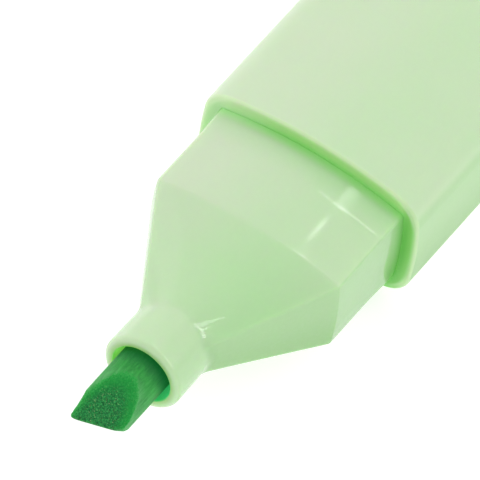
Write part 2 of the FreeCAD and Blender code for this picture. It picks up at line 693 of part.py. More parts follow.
doc.recompute()
for item in doc.Objects:
    if "Invalid" in item.State or "Error" in item.State:
        raise RuntimeError(f"{item.Name} failed: {item.State}")
for part in SUB_PARTS:
    if part.Shape.isNull() or not part.Shape.isValid() or len(part.Shape.Solids) != 1:
        raise RuntimeError(f"{part.Label} is not one valid solid")

os.makedirs("parts", exist_ok=True)
for part in SUB_PARTS:
    part.Shape.exportStep(f"parts/{part.Label}.step")
    box = part.Shape.BoundBox
    print(
        f"{part.Label:16s} volume {part.Shape.Volume:9.1f} mm3  X {box.XMin:7.2f} {box.XMax:7.2f}"
        f"  Y {box.YMin:7.2f} {box.YMax:7.2f}  Z {box.ZMin:6.2f} {box.ZMax:6.2f}"
    )
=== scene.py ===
import math

import bpy
import numpy as np
from mathutils import Matrix, Vector


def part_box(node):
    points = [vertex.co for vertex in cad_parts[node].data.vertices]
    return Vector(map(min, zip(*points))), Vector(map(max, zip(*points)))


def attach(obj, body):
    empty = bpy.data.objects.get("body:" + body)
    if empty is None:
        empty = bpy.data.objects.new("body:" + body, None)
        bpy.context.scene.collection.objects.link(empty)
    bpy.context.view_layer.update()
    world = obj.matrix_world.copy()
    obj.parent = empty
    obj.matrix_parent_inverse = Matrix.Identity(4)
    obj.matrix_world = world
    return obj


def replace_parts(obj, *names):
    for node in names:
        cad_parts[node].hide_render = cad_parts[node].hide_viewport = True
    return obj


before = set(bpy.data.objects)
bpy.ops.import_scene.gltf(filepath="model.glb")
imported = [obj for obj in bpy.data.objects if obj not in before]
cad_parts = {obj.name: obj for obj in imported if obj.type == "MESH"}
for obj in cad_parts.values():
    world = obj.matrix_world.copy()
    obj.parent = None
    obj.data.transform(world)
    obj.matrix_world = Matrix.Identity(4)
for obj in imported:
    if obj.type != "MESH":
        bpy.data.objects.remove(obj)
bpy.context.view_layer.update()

# The row frame is in metres.  Pieces are worked out in pen millimetres, with X = 0 at the barrel's
# front rim and the nib towards -X, Y across, and Z up from the middle of the section.  PEN_SHIFT is
# the place of that origin in the row frame.
MM = 0.001
BARREL_LOW, BARREL_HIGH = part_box("barrel")
PEN_SHIFT = np.array([BARREL_LOW.x, 0.0, (BARREL_LOW.z + BARREL_HIGH.z) / 2])


# ---------------------------------------------------------------- meshes

def to_frame(points):
    """Pen millimetres to row-frame metres."""
    return np.asarray(points, float) * MM + PEN_SHIFT


def mesh_object(name, points, faces, body, material):
    """A smooth-shaded mesh piece that rides on a CAD body."""
    mesh = bpy.data.meshes.new(name)
    mesh.from_pydata([tuple(p) for p in to_frame(points)], [], faces)
    mesh.validate()
    mesh.materials.append(material)
    mesh.polygons.foreach_set("use_smooth", np.ones(len(mesh.polygons), bool))
    mesh.update()
    piece = bpy.data.objects.new(name, mesh)
    bpy.context.scene.collection.objects.link(piece)
    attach(piece, body)
    return piece


def ring_faces(rings, points, closed):
    """Quads between successive rings of points, with the last ring joined to the first when closed."""
    faces = []
    for k in range(rings if closed else rings - 1):
        a, b = k * points, ((k + 1) % rings) * points
        faces += [(a + i, b + i, b + (i + 1) % points, a + (i + 1) % points) for i in range(points)]
    return faces


def smoothstep(low, high, x):
    t = np.clip((np.asarray(x, float) - low) / (high - low), 0, 1)
    return t * t * (3 - 2 * t)


# ---------------------------------------------------------------- sections of the mouldings (mm)

# Each section is its width, its thickness, and the radii of its crowns, its sides and its corners.
BARREL_SECTION = (24.0, 15.1, 41.8, 39.0, 3.2)
NECK_SECTION = (20.8, 11.75, 40.0, 33.0, 0.5)
SHOULDER_SECTION = (20.5, 11.1, 40.0, 33.0, 0.5)
NOSE_SECTION = (7.9, 8.0, 4.55, 18.0, 0.9)
SIDE_POINTS, CORNER_POINTS, CROWN_POINTS = 40, 12, 96


def outline(width, thickness, crown, side, corner):
    """Points round a section of four bulging sides and four corner arcs, as (y, z)."""
    side_y, crown_z = width / 2 - side, thickness / 2 - crown
    gap = math.hypot(side_y, crown_z)
    along = ((crown - corner) ** 2 - (side - corner) ** 2 + gap ** 2) / (2 * gap)
    off = math.sqrt((crown - corner) ** 2 - along ** 2)
    uy, uz = side_y / gap, -crown_z / gap
    py, pz = max((along * uy + s * off * uz, crown_z + along * uz - s * off * uy) for s in (1, -1))
    low, high = math.atan2(pz, py - side_y), math.atan2(pz - crown_z, py)
    quadrants = []
    for turn, (sy, sz) in enumerate(((1, 1), (-1, 1), (-1, -1), (1, -1))):
        half_side = np.linspace(0, low, SIDE_POINTS // 2, endpoint=False)
        corner_arc = np.linspace(low, high, CORNER_POINTS, endpoint=False)
        half_crown = np.linspace(high, math.pi / 2, CROWN_POINTS // 2, endpoint=False)
        quadrant = np.r_[
            np.c_[side_y + side * np.cos(half_side), side * np.sin(half_side)],
            np.c_[py + corner * np.cos(corner_arc), pz + corner * np.sin(corner_arc)],
            np.c_[crown * np.cos(half_crown), crown_z + crown * np.sin(half_crown)],
        ]
        if turn % 2:
            quadrant = np.r_[quadrant[1:], [[0.0, thickness / 2]]][::-1]
        quadrants.append(quadrant * (sy, sz))
    return np.concatenate(quadrants)


def moved_out(points, amount):
    """An outline with its points moved outwards by an amount, along its own normals."""
    tangent = np.roll(points, -1, 0) - np.roll(points, 1, 0)
    normal = np.c_[tangent[:, 1], -tangent[:, 0]]
    return points + amount * normal / np.linalg.norm(normal, axis=1, keepdims=True)


def circle(radius, angles):
    return np.c_[radius * np.cos(angles), radius * np.sin(angles)]


# ---------------------------------------------------------------- the front moulding (mm)

FLARE_X, SHOULDER_X, NOSE_X, MOUTH_X = -3.4, -10.3, -21.6, -26.9
FLARE_IN = 0.08
NECK = outline(*NECK_SECTION)
SHOULDER = outline(*SHOULDER_SECTION)
NOSE = outline(*NOSE_SECTION)
FLARE = moved_out(NECK + (SHOULDER - NECK) * FLARE_X / SHOULDER_X, -FLARE_IN)

# The outlines that the outside runs through, and how far before and after each its ridge is softened.
KNOTS = [(0.0, NECK, 0), (FLARE_X, FLARE, 0.38), (SHOULDER_X, SHOULDER, 0.14), (NOSE_X, NOSE, 0)]

# Rings of points along the outside: first and last X, and how many.  They crowd where it bends.
STATIONS = (
    (0, -2.8, 7), (-2.9, -3.9, 17), (-4.2, -9.9, 13), (-10.16, -10.44, 9), (-11.0, -19.0, 17),
    (-19.15, -22.6, 47),
)
SPIGOT_STATIONS = (9.0, 6.0, 3.0, 0.6)
NECK_STEP, STEP_START, STEP_FULL = 0.04, -4.6, -9.4

# The round collar, its fillet into the taper, and its rolled lip.
COLLAR, COLLAR_FLARE, COLLAR_FILLET = 4.1, 0.016, 1.3
BLEND_LEAST, BLEND_MOST, BLEND_START = 0.02, 0.9, -19
SETTLE_START, SETTLE_END = -22.6, -23.4
LIP, INNER_LIP = 0.5, 0.15

# The bore with its six grip ribs, the nib holder behind it, and the cavity round the holder.
BORE, NIB, HOLDER = 3.07, 2.6, 3.9
RIB_PITCH, RIB_FOOT, RIB_TOP, RIB_PLAY = math.pi / 3, 0.42, 0.26, 0.02
RIB_START, RIB_FULL = -23.65, -23.35
BORE_STATIONS = (*np.linspace(-26.6, -23.9, 8), -23.7, -23.6, -23.5, -23.4, -23.3, -21.0, -17.0, -12.0)
HOLDER_BACK, CAVITY_FRONT, WALL = -9.0, -14.5, 1.2


def outside_at(x):
    """The ruled surface through the knot outlines at x, with each ridge softened."""
    for index in range(1, len(KNOTS) - 1):
        knot, points, soft = KNOTS[index]
        if abs(x - knot) < soft:
            before = (points - KNOTS[index - 1][1]) / (KNOTS[index - 1][0] - knot)
            after = (KNOTS[index + 1][1] - points) / (knot - KNOTS[index + 1][0])
            run = knot + soft - x
            return points - soft * before + run * before + (after - before) * run ** 2 / (4 * soft)
    for (x0, p0, _), (x1, p1, _) in zip(KNOTS, KNOTS[1:]):
        if x >= x1 or x1 == KNOTS[-1][0]:
            return p0 + (p1 - p0) * (x0 - x) / (x0 - x1)


def collar_at(x):
    """The collar's radius at x: it widens a little towards its mouth."""
    return COLLAR - COLLAR_FLARE * (x - MOUTH_X - LIP)


def build_nose(material):
    """The front moulding: spigot, neck, taper, collar with its rolled lip, ribbed bore and cavity."""
    slope = (SHOULDER - NOSE) / (SHOULDER_X - NOSE_X)
    steep = np.abs((slope * NOSE).sum(1) / np.linalg.norm(NOSE, axis=1))
    blend = 2 * COLLAR_FILLET * steep * np.tan(np.arctan(steep) / 2)
    blend = np.clip(blend, BLEND_LEAST, BLEND_MOST)
    rings = []

    def add(x, points):
        rings.append(np.c_[np.full(len(points), x), points])

    for x in SPIGOT_STATIONS:
        add(x, NECK)
    for x in np.concatenate([np.linspace(*span) for span in STATIONS]):
        taper_left = np.clip((x - NOSE_X) / (SHOULDER_X - NOSE_X), 0, 1)
        points = moved_out(outside_at(x), NECK_STEP * smoothstep(STEP_START, STEP_FULL, x) * taper_left)
        if x < BLEND_START:
            reach = np.linalg.norm(points, axis=1)
            near = np.clip(1 - np.abs(reach - collar_at(x)) / blend, 0, 1)
            joined = np.maximum(reach, collar_at(x)) + near ** 2 * blend / 4
            points = points * (joined / reach)[:, None]
        add(x, points)

    angles = np.arctan2(points[:, 1], points[:, 0])
    reach = np.linalg.norm(points, axis=1)
    for x in np.linspace(-22.75, MOUTH_X + LIP, 15):
        settle = smoothstep(SETTLE_START, SETTLE_END, x)
        add(x, circle(reach * (1 - settle) + collar_at(x) * settle, angles))
    for turn in np.linspace(0, math.pi / 2, 11)[1:]:
        add(MOUTH_X + LIP - LIP * math.sin(turn), circle(COLLAR - LIP + LIP * math.cos(turn), angles))
    add(MOUTH_X, circle((COLLAR - LIP + BORE + INNER_LIP) / 2, angles))
    for turn in np.linspace(0, math.pi / 2, 7):
        radius = BORE + INNER_LIP - INNER_LIP * math.sin(turn)
        add(MOUTH_X + INNER_LIP - INNER_LIP * math.cos(turn), circle(radius, angles))

    off_rib = np.abs((angles / RIB_PITCH - 0.5) % 1 - 0.5) * RIB_PITCH * BORE
    ribs = smoothstep(RIB_FOOT, RIB_TOP, off_rib)
    for x in (*BORE_STATIONS, HOLDER_BACK):
        rise = (BORE - NIB - RIB_PLAY) * smoothstep(RIB_START, RIB_FULL, x)
        add(x, circle(1, angles) * (BORE - rise * ribs)[:, None])
    add(HOLDER_BACK, circle(HOLDER, angles))
    add(CAVITY_FRONT, circle(HOLDER, angles))
    share = (SHOULDER_X - CAVITY_FRONT) / (SHOULDER_X - NOSE_X)
    add(CAVITY_FRONT, moved_out(SHOULDER + (NOSE - SHOULDER) * share, -WALL))
    add(SHOULDER_X, moved_out(SHOULDER, -WALL))
    add(SPIGOT_STATIONS[0], moved_out(NECK, -WALL))

    faces = ring_faces(len(rings), len(NECK), closed=True)
    return mesh_object("nose_moulding", np.concatenate(rings), faces, "pen_body", material)


# ---------------------------------------------------------------- the chisel nib (mm)

NIB_SHIFT, NIB_SKEW, NIB_ANGLE = 0.1, math.radians(18.4), math.radians(29.0)
NIB_FRONT, NIB_LEAD, NIB_LAND, NIB_ROUND = 34.99, 2.0, 0.3, 0.15
NIB_EDGE = -(NIB_FRONT - NIB_LEAD * math.tan(NIB_SKEW))
NIB_TURNS, NIB_BACK_RADIUS = 288, 1.4
CUT_RISE = math.cos(NIB_SKEW) * math.tan(NIB_ANGLE)

# How far behind the skewed edge each ring of the cut is, and then the X of the rings behind it.
CUT_DEPTHS = np.r_[
    0.003, 0.012, 0.03, 0.06, 0.1, 0.15, np.linspace(0.25, 7.5, 96), np.linspace(8.0, 12.5, 24)
]
ROD_STATIONS = np.linspace(-21.5, -1.2, 9)
STRAIGHT_START, STRAIGHT_FULL = 8.5, 12.5

# The +Y side is relieved and the -Y side is worn: where each starts, where it is full, and how deep.
RELIEF = (-29.0, -34.2, 0.38)
WEAR = (-31.5, -34.0, 0.16)
CORNER_RELIEVED, CORNER_WORN, CORNER_REACH, CORNER_POWER, CORNER_FADE = 0.36, 0.27, 2.25, 11, 0.35
FRONT_PINCH = 0.12
SOFT_LEAST, SOFT_RELIEVED = 0.34, 0.9
GROOVE_DEPTH, GROOVE_WAVES, GROOVE_FEWEST, GROOVE_MOST = 0.0035, 24, 30, 90


def lowered(x, start, full, depth):
    """The rod's radius at x, where its side is taken off gradually."""
    return NIB - depth * smoothstep(start, full, x)


def build_nib(material):
    """The fibre rod with its skewed chisel cut, its edges a little worn and its skin finely grooved."""
    rng = np.random.default_rng(7)
    angles = np.linspace(0, 2 * math.pi, NIB_TURNS, endpoint=False)
    cos, sin = np.cos(angles), np.sin(angles)
    grooves = GROOVE_DEPTH * sum(
        rng.uniform(0.3, 1.0) * np.sin(round(n) * angles + rng.uniform(0, 6.28))
        for n in rng.uniform(GROOVE_FEWEST, GROOVE_MOST, GROOVE_WAVES)
    )
    soft = SOFT_LEAST + SOFT_RELIEVED * np.clip(cos, 0, 1) ** 2
    skew = math.tan(NIB_SKEW)
    rings = []
    for depth in CUT_DEPTHS:
        on_edge = NIB_EDGE + depth
        to_cut = (NIB_LAND / 2 + depth * CUT_RISE) / np.maximum(np.abs(sin), 1e-6)
        x = on_edge - np.minimum(to_cut, NIB) * cos * skew
        flat = np.where(cos > 0, lowered(x, *RELIEF), lowered(x, *WEAR))
        skin = np.minimum(NIB, flat / np.maximum(np.abs(cos), 1e-6)) + grooves
        near = np.clip(1 - np.abs(skin - to_cut) / soft, 0, 1)
        reach = np.minimum(skin, to_cut) - near ** 2 * np.minimum(soft, 2 * to_cut) / 4
        front = min(depth / NIB_ROUND, 1)
        y = (reach - FRONT_PINCH * (1 - front) ** 2 * np.abs(cos)) * cos
        z = reach * sin * math.sqrt(front * (2 - front))
        x = on_edge - y * skew * (1 - smoothstep(STRAIGHT_START, STRAIGHT_FULL, depth))
        corner = np.where(y > 0, CORNER_RELIEVED, CORNER_WORN)
        corner = corner * np.clip(np.abs(y) / CORNER_REACH, 0, 1) ** CORNER_POWER
        x = x + corner * math.exp(-depth / CORNER_FADE)
        rings.append(np.c_[x, y + NIB_SHIFT, z])
    for x in ROD_STATIONS:
        rings.append(np.c_[np.full(NIB_TURNS, x), (NIB + grooves) * cos + NIB_SHIFT, (NIB + grooves) * sin])
    rings.append(np.c_[np.zeros(NIB_TURNS), NIB_BACK_RADIUS * cos + NIB_SHIFT, NIB_BACK_RADIUS * sin])

    faces = [tuple(reversed(face)) for face in ring_faces(len(rings), NIB_TURNS, closed=False)]
    last = (len(rings) - 1) * NIB_TURNS
    front, back = len(rings) * NIB_TURNS, len(rings) * NIB_TURNS + 1
    faces += [(i, (i + 1) % NIB_TURNS, front) for i in range(NIB_TURNS)]
    faces += [(last + (i + 1) % NIB_TURNS, last + i, back) for i in range(NIB_TURNS)]
    points = np.r_[np.concatenate(rings), [rings[0].mean(0)], [rings[-1].mean(0)]]
    return mesh_object("nib_rod", points, faces, "pen_body", material)


# ---------------------------------------------------------------- material nodes

class Nodes:
    """A material's node tree, written as short calls."""

    def __init__(self, name):
        self.material = bpy.data.materials.new(name)
        self.material.use_nodes = True
        self.tree = self.material.node_tree
        self.tree.nodes.clear()
        self.shader = self.tree.nodes.new("ShaderNodeBsdfPrincipled")
        output = self.tree.nodes.new("ShaderNodeOutputMaterial")
        self.tree.links.new(self.shader.outputs["BSDF"], output.inputs["Surface"])
        coordinates = self.tree.nodes.new("ShaderNodeTexCoord")
        self.place, self.facing = coordinates.outputs["Object"], coordinates.outputs["Normal"]

    def put(self, socket, value):
        """Links an output to a socket, or sets a plain value on it."""
        if isinstance(value, bpy.types.NodeSocket):
            self.tree.links.new(value, socket)
        else:
            socket.default_value = value

    def new(self, kind, **values):
        """A node with its inputs linked or set by name."""
        node = self.tree.nodes.new(kind)
        for key, value in values.items():
            self.put(node.inputs[key], value)
        return node

    def math(self, operation, a, b=0.0, clamp=False):
        node = self.tree.nodes.new("ShaderNodeMath")
        node.operation, node.use_clamp = operation, clamp
        self.put(node.inputs[0], a)
        self.put(node.inputs[1], b)
        return node.outputs[0]

    def add(self, a, b, clamp=False):
        return self.math("ADD", a, b, clamp)

    def minus(self, a, b):
        return self.math("SUBTRACT", a, b)

    def times(self, a, b, clamp=False):
        return self.math("MULTIPLY", a, b, clamp)

    def absolute(self, a):
        return self.math("ABSOLUTE", a)

    def larger(self, a, b):
        return self.math("MAXIMUM", a, b)

    def radius(self, y, z):
        return self.math("SQRT", self.add(self.times(y, y), self.times(z, z)))

    def ramp(self, value, low, high, out_low=0.0, out_high=1.0):
        """A smooth step of a value from low to high."""
        node = self.tree.nodes.new("ShaderNodeMapRange")
        node.interpolation_type = "SMOOTHSTEP"
        for socket, number in zip(node.inputs[:5], (value, low, high, out_low, out_high)):
            self.put(socket, number)
        return node.outputs[0]

    def mix(self, share, a, b):
        """Colour b by a share, and colour a by the rest."""
        node = self.tree.nodes.new("ShaderNodeMix")
        node.data_type = "RGBA"
        self.put(node.inputs[0], share)
        for socket, colour in ((node.inputs[6], a), (node.inputs[7], b)):
            self.put(socket, (*colour, 1.0) if isinstance(colour, tuple) else colour)
        return node.outputs[2]

    def noise(self, scale, detail=3.0, roughness=0.5, stretch=(1, 1, 1)):
        """Noise at a number of waves per millimetre, with the place scaled along each axis."""
        scaling = self.new("ShaderNodeMapping", Vector=self.place, Scale=stretch)
        node = self.new("ShaderNodeTexNoise", Scale=scale / MM, Detail=detail, Roughness=roughness,
                        Vector=scaling.outputs[0])
        return node.outputs[0]

    def cells(self, scale):
        """Two random values per Voronoi cell, and the distance to the cell's centre."""
        node = self.new("ShaderNodeTexVoronoi", Scale=scale / MM, Vector=self.place)
        split = self.new("ShaderNodeSeparateColor", Color=node.outputs["Color"])
        return split.outputs[0], split.outputs[1], node.outputs["Distance"]

    def pen_xyz(self):
        """The place in pen millimetres."""
        split = self.new("ShaderNodeSeparateXYZ", Vector=self.place)
        places = zip(split.outputs, PEN_SHIFT)
        return [self.times(self.minus(place, float(shift)), 1 / MM) for place, shift in places]

    def bump(self, height, strength, distance, below=None):
        node = self.new("ShaderNodeBump", Strength=strength, Distance=distance * MM, Height=height)
        if below is not None:
            self.put(node.inputs["Normal"], below)
        return node.outputs[0]

    def finish(self, **values):
        """Sets the shader's own sockets, and gives the material."""
        for name, value in values.items():
            self.put(self.shader.inputs[name.replace("_", " ")], value)
        return self.material


# ---------------------------------------------------------------- the pastel plastics

# All colours are linear RGB.  The second pastel is the deeper green of painted shade over the body, and the
# sides' colours are painted shade at their top, lower down, and at their foot.
PASTEL, PASTEL_SHADED = (0.645, 0.775, 0.55), (0.46, 0.80, 0.375)
SIDE_SHADE_HIGH, SIDE_SHADE_LOW, SIDE_FOOT_SHADE = (0.42, 0.665, 0.34), (0.28, 0.54, 0.20), (0.22, 0.36, 0.17)
GRAIN_PALE, SCUFF_PALE = (0.80, 0.93, 0.72), (0.82, 0.92, 0.76)

# Painted shade on the rim's cut face, deep green beside the neck and paler to its outer edge, on top and on
# its flanks.
RIM_CREASE_SHADE, RIM_MIDDLE, RIM_PALE = (0.29, 0.76, 0.19), (0.46, 0.80, 0.29), (0.65, 0.87, 0.51)
FLANK_CREASE_SHADE, FLANK_MIDDLE, FLANK_PALE = (0.16, 0.60, 0.09), (0.25, 0.66, 0.14), (0.56, 0.77, 0.45)
# Painted shade at the flanks' foot, and painted light towards the rim's left end.
FLANK_FOOT_SHADE, RIM_LEFT_LIT = (0.10, 0.45, 0.05), (0.70, 0.88, 0.58)

# Painted shade on the nose moulding beside the rim and on its sides, a painted tint for light coming out
# through its lip, and the ink green in its bore.
CREASE_SHADE, CREASE_LEFT_LIT, CREASE_SIDE_SHADE = (0.35, 0.76, 0.24), (0.52, 0.86, 0.42), (0.22, 0.66, 0.13)
NECK_SIDE_SHADE, LIP_GREEN, BORE_GREEN = (0.20, 0.58, 0.14), (0.44, 0.74, 0.22), (0.04, 0.40, 0.03)

# Painted glow: a weak emission standing in for light that comes through thin plastic, and filling the dark
# seam between the neck and the barrel.
NO_LIGHT, SEAM_PAINTED_GLOW = (0.0, 0.0, 0.0), (0.025, 0.09, 0.012)
RIM_PAINTED_GLOW, CREASE_PAINTED_GLOW = (0.04, 0.09, 0.025), (0.04, 0.10, 0.03)
BORE_PAINTED_GLOW_RIGHT, BORE_PAINTED_GLOW_LEFT = (0.018, 0.27, 0.08), (0.115, 0.38, 0.052)

PLASTIC_IOR, PLASTIC_SCATTER, SKIN_RADIUS = 1.49, 0.7, (1.0, 1.6, 0.7)
COLLAR_EXTRA_ROUGHNESS, COLLAR_SIDE_SHARE = 0.14, 0.45


def plastic(name, gloss, grain, wave, depth, edge=None, turned=(0.82, 0.985, 0.82)):
    """Pastel moulded plastic with a fine grain, faint flow clouds, rubbed spots and thin scuffs.

    gloss is its roughness, and grain and wave are the strengths of its fine and its broad bumps.
    depth gives the painted shade over the piece, as how deep the green is.  edge gives painted shade
    near its edges, and a painted glow for the light that comes through the plastic there.  turned says
    from which sideways share of a face's normal the painted side shade starts, where it is full, and
    how strong it is.
    """
    n = Nodes(name)
    x, y, z = n.pen_xyz()
    clouds = n.noise(0.12)
    fine = n.noise(2.6, 4.0, 0.6)
    # Painted shade: the green deepens where depth gives, with faint random flow clouds.
    deep = n.add(depth(n, x, y), n.ramp(clouds, 0.3, 0.7, -0.05, 0.05), clamp=True)
    colour = n.mix(deep, PASTEL, PASTEL_SHADED)
    # Painted shade on sideways faces, darker lower down and darkest at the foot.
    side = n.mix(n.ramp(z, 3.0, -4.5), SIDE_SHADE_HIGH, SIDE_SHADE_LOW)
    side = n.mix(n.ramp(z, -5.2, -7.2, 0.0, 0.7), side, SIDE_FOOT_SHADE)
    colour = n.mix(sideways_shade_share(n, x, *turned), colour, side)
    colour = n.mix(n.ramp(fine, 0.35, 0.75, 0.0, 0.04), colour, GRAIN_PALE)
    if edge is not None:
        # Painted shade, and a painted glow given as emission, near the edges.
        colour, glow = edge(n, colour, x, y, z)
        n.finish(Emission_Color=glow, Emission_Strength=1.0)
    thin = n.ramp(n.noise(0.5, 6.0, 0.7, (0.12, 1.6, 1.6)), 0.62, 0.68)
    scuff = n.times(thin, n.ramp(n.noise(0.09, 2.0), 0.50, 0.66))
    colour = n.mix(n.times(scuff, 0.08), colour, SCUFF_PALE)
    rubbed = n.ramp(n.noise(0.35, 4.0), 0.25, 0.75, gloss * 0.92, gloss * 1.08)
    rough = n.add(rubbed, n.times(scuff, gloss * 0.4))
    rough = n.add(rough, n.ramp(x, -22.0, -22.8, 0.0, COLLAR_EXTRA_ROUGHNESS), clamp=True)
    bumps = n.bump(fine, grain, 0.01)
    bumps = n.bump(n.noise(0.10, 1.0), wave, 0.10, bumps)
    return n.finish(
        Base_Color=colour, Roughness=rough, Normal=bumps, IOR=PLASTIC_IOR,
        Subsurface_Weight=PLASTIC_SCATTER, Subsurface_Radius=SKIN_RADIUS, Subsurface_Scale=MM,
    )


def sideways_shade_share(n, x, start, full, strength):
    """The share of painted side shade: how far a face is turned sideways on the object, from 0 to 1, and
    less on the round collar.
    """
    facing = n.new("ShaderNodeSeparateXYZ", Vector=n.facing)
    sideways = n.ramp(n.absolute(facing.outputs[1]), start, full, 0.0, strength)
    return n.times(sideways, n.ramp(x, -21.5, -22.8, 1.0, COLLAR_SIDE_SHARE))


def barrel_painted_shade(n, x, y):
    """Painted shade: a little deeper towards the -Y side."""
    return n.ramp(y, 9.0, -4.0, 0.03, 0.25)


def nose_painted_shade(n, x, y):
    """Painted shade: deeper over the taper, towards the -Y side, and in the last 4 mm before the rim."""
    taper = n.add(n.ramp(x, -10.1, -10.8, 0.0, 0.55), n.ramp(x, -10.0, -16.0, 0.0, 0.45))
    taper = n.times(taper, n.ramp(x, -22.4, -20.5, 0.15, 1.0))
    level = n.add(n.times(taper, 0.31), n.ramp(y, 8.5, -6.0, 0.0, 0.40))
    return n.add(level, n.ramp(x, -3.8, -0.8, 0.0, 0.35))


def beyond(n, y, z, section, inset=0.0):
    """How far a point is outside a section's side arc and crown arc, each moved in by inset."""
    width, thickness, crown, side, _ = section
    from_side = n.radius(n.add(n.absolute(y), side - width / 2), z)
    from_crown = n.radius(y, n.add(n.absolute(z), crown - thickness / 2))
    arcs = ((from_side, side), (from_crown, crown))
    return [n.larger(n.minus(distance, arc - inset), 0.0) for distance, arc in arcs]


def across_rim(n, y, z):
    """The place across the rim's cut face, from 0 beside the neck to 1 at the outer edge."""
    corner = BARREL_SECTION[-1]
    neck_gap = n.radius(*beyond(n, y, z, NECK_SECTION))
    edge_gap = n.larger(n.minus(corner, n.radius(*beyond(n, y, z, BARREL_SECTION, corner))), 0.0)
    return n.math("DIVIDE", neck_gap, n.add(n.add(neck_gap, edge_gap), 0.01))


def barrel_edge(n, colour, x, y, z):
    """Painted shade on the tube's cut front face, pale at its outer edge to deep green beside the neck."""
    across = across_rim(n, y, z)
    face = n.mix(n.ramp(across, 0.0, 0.55), RIM_CREASE_SHADE, RIM_MIDDLE)
    face = n.mix(n.ramp(across, 0.52, 0.97), face, RIM_PALE)
    flank = n.mix(n.ramp(across, 0.1, 0.7), FLANK_CREASE_SHADE, FLANK_MIDDLE)
    # Painted shade, darker towards the flanks' foot.
    flank = n.mix(n.ramp(z, -3.2, -5.6, 0.0, 0.6), flank, FLANK_FOOT_SHADE)
    pale = n.times(n.ramp(across, 0.52, 0.92), n.ramp(z, -4.4, -6.2, 1.0, 0.2))
    flank = n.mix(pale, flank, FLANK_PALE)
    on_flank = n.larger(n.ramp(n.absolute(y), 9.6, 10.8), n.ramp(z, -1.0, -4.0))
    face = n.mix(n.times(on_flank, 0.85), face, flank)
    # Painted light: paler towards the rim's left end.
    face = n.mix(n.ramp(y, 2.0, 9.0, 0.0, 0.60), face, RIM_LEFT_LIT)
    # Painted glow on the rim face near the neck, and in the seam beside the neck.
    front = n.ramp(x, 0.34, 0.12)
    glow = n.times(n.times(front, n.ramp(across, 0.65, 0.0)), n.ramp(on_flank, 0.0, 1.0, 1.0, 0.25))
    seam = n.times(n.ramp(across, 0.06, 0.01), n.ramp(x, 1.5, 0.5))
    return n.mix(front, colour, face), n.mix(seam, n.mix(glow, NO_LIGHT, RIM_PAINTED_GLOW), SEAM_PAINTED_GLOW)


def nose_edge(n, colour, x, y, z):
    """Painted shade beside the barrel's rim and on the neck's sides, a painted tint on the collar's lip,
    and the inked bore's green.
    """
    radius, off_middle = n.radius(y, z), n.absolute(y)
    side = n.ramp(off_middle, 9.7, 10.3)
    # Painted shade on the neck's sides near the rim.
    colour = n.mix(n.times(side, n.ramp(x, -5.0, -0.8, 0.0, 0.20)), colour, NECK_SIDE_SHADE)
    # Painted shade in the crease beside the rim, paler to the left and deeper on the sides.
    crease = n.mix(n.ramp(y, 3.0, 10.0, 0.0, 0.8), CREASE_SHADE, CREASE_LEFT_LIT)
    crease = n.mix(side, crease, CREASE_SIDE_SHADE)
    near_rim = n.times(n.ramp(x, -1.35, 0.1), n.ramp(side, 0.0, 1.0, 1.0, 0.8))
    colour = n.mix(near_rim, colour, crease)
    # Painted tint on the lip for light coming out through its end.
    lip = n.times(n.ramp(x, -26.5, -26.85), n.ramp(radius, 3.75, 3.2, 0.0, 0.8))
    colour = n.mix(lip, colour, LIP_GREEN)
    inside = n.times(n.ramp(radius, 3.3, 3.1), n.ramp(x, -20.0, -21.0))
    colour = n.mix(inside, colour, BORE_GREEN)
    # Painted glow beside the rim, in the seam, and inside the bore for light coming through the collar.
    near_rim = n.times(n.ramp(x, -1.1, 0.05), n.ramp(off_middle, 9.6, 10.4, 1.0, 0.0))
    glow = n.mix(near_rim, NO_LIGHT, CREASE_PAINTED_GLOW)
    glow = n.mix(n.ramp(x, -0.10, 0.06), glow, SEAM_PAINTED_GLOW)
    through = n.mix(n.ramp(y, -1.5, 2.2), BORE_PAINTED_GLOW_RIGHT, BORE_PAINTED_GLOW_LEFT)
    return colour, n.mix(inside, glow, through)


# ---------------------------------------------------------------- the other materials

FIBRE_DARK, FIBRE_LIGHT = (0.014, 0.26, 0.037), (0.045, 0.41, 0.07)
STRAND_PALE, BLOTCH_DARK = (0.13, 0.50, 0.16), (0.012, 0.20, 0.035)
# Painted highlight on the skin beside the cut, and painted shadow of the lip on the rod at the bore's
# mouth.
HIGHLIGHT_PALE, ROOT_SHADOW = (0.15, 0.50, 0.18), (0.008, 0.18, 0.05)
CUT_DARK, CUT_LIGHT = (0.001, 0.09, 0.02), (0.024, 0.36, 0.08)
# The cut's border and edge colours are painted glow of light through the fibre, and the last grain is
# painted glints.
CUT_CLOUD, CUT_BORDER_GLOW, CUT_EDGE_GLOW = (0.006, 0.20, 0.045), (0.008, 0.36, 0.045), (0.02, 0.44, 0.06)
GRAIN_GREEN, GRAIN_BROWN, GRAIN_GLINT = (0.08, 0.44, 0.12), (0.20, 0.27, 0.07), (0.30, 0.58, 0.22)


